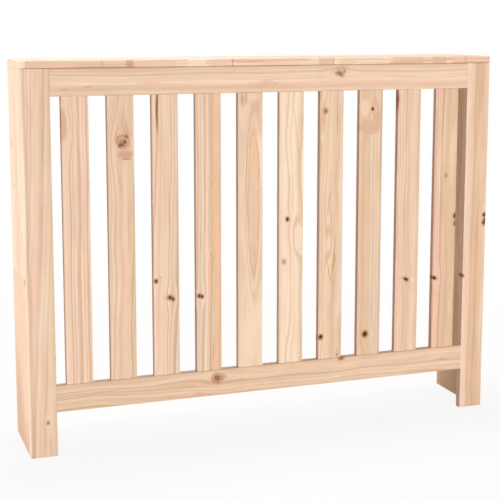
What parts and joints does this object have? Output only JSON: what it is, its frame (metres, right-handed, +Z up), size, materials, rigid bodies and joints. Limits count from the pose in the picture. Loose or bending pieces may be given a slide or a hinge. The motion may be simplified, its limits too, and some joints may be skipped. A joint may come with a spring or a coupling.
{
  "type": "radiator cover cabinet",
  "caption": "Free-standing solid pine radiator cover with an upright slatted front, a flat top board and two side panels, open at the back and underneath.",
  "frame": {"origin": "on the floor, under the middle of the cabinet's overall box", "axes": "+X along the cabinet's length, +Y towards the wall behind it so that the slatted front faces -Y, +Z up"},
  "size_m": [1.085, 0.19, 0.84],
  "materials": {
    "pine_frame": "planed and sanded light pine, clear sealed, satin",
    "pine_slat": "planed and sanded light pine with knots, clear sealed, satin",
    "pine_board": "edge-glued light pine staves, sanded, clear sealed, satin",
    "beech": "turned beech dowel, unfinished",
    "zinc": "die-cast zinc, matt grey",
    "plated_steel": "zinc-plated steel, bright"
  },
  "bodies": {
    "root": {"bottom_rail": "pine_frame", "bottom_rail_dowel_left_lower": "beech", "bottom_rail_dowel_left_upper": "beech", "bottom_rail_dowel_right_lower": "beech", "bottom_rail_dowel_right_upper": "beech", "bracket_screw_left_front": "plated_steel", "bracket_screw_left_rear": "plated_steel", "bracket_screw_right_front": "plated_steel", "bracket_screw_right_rear": "plated_steel", "cam_bolt_stile_left_high": "plated_steel", "cam_bolt_stile_left_low": "plated_steel", "cam_bolt_stile_right_high": "plated_steel", "cam_bolt_stile_right_low": "plated_steel", "cam_bolt_top_left_front": "plated_steel", "cam_bolt_top_left_rear": "plated_steel", "cam_bolt_top_right_front": "plated_steel", "cam_bolt_top_right_rear": "plated_steel", "cam_stile_left_high": "zinc", "cam_stile_left_low": "zinc", "cam_stile_right_high": "zinc", "cam_stile_right_low": "zinc", "cam_top_left_front": "zinc", "cam_top_left_rear": "zinc", "cam_top_right_front": "zinc", "cam_top_right_rear": "zinc", "left_side_panel": "pine_board", "left_stile": "pine_frame", "rail_to_top_dowel_left": "beech", "rail_to_top_dowel_middle": "beech", "rail_to_top_dowel_right": "beech", "right_side_panel": "pine_board", "right_stile": "pine_frame", "side_dowel_left_high": "beech", "side_dowel_left_low": "beech", "side_dowel_right_high": "beech", "side_dowel_right_low": "beech", "slat_01": "pine_slat", "slat_02": "pine_slat", "slat_03": "pine_slat", "slat_04": "pine_slat", "slat_05": "pine_slat", "slat_06": "pine_slat", "slat_07": "pine_slat", "slat_08": "pine_slat", "slat_09": "pine_slat", "slat_10": "pine_slat", "top_board": "pine_board", "top_dowel_left": "beech", "top_dowel_right": "beech", "top_rail": "pine_frame", "top_rail_dowel_left_lower": "beech", "top_rail_dowel_left_upper": "beech", "top_rail_dowel_right_lower": "beech", "top_rail_dowel_right_upper": "beech", "wall_bracket_left": "plated_steel", "wall_bracket_right": "plated_steel"}
  },
  "joints": []
}
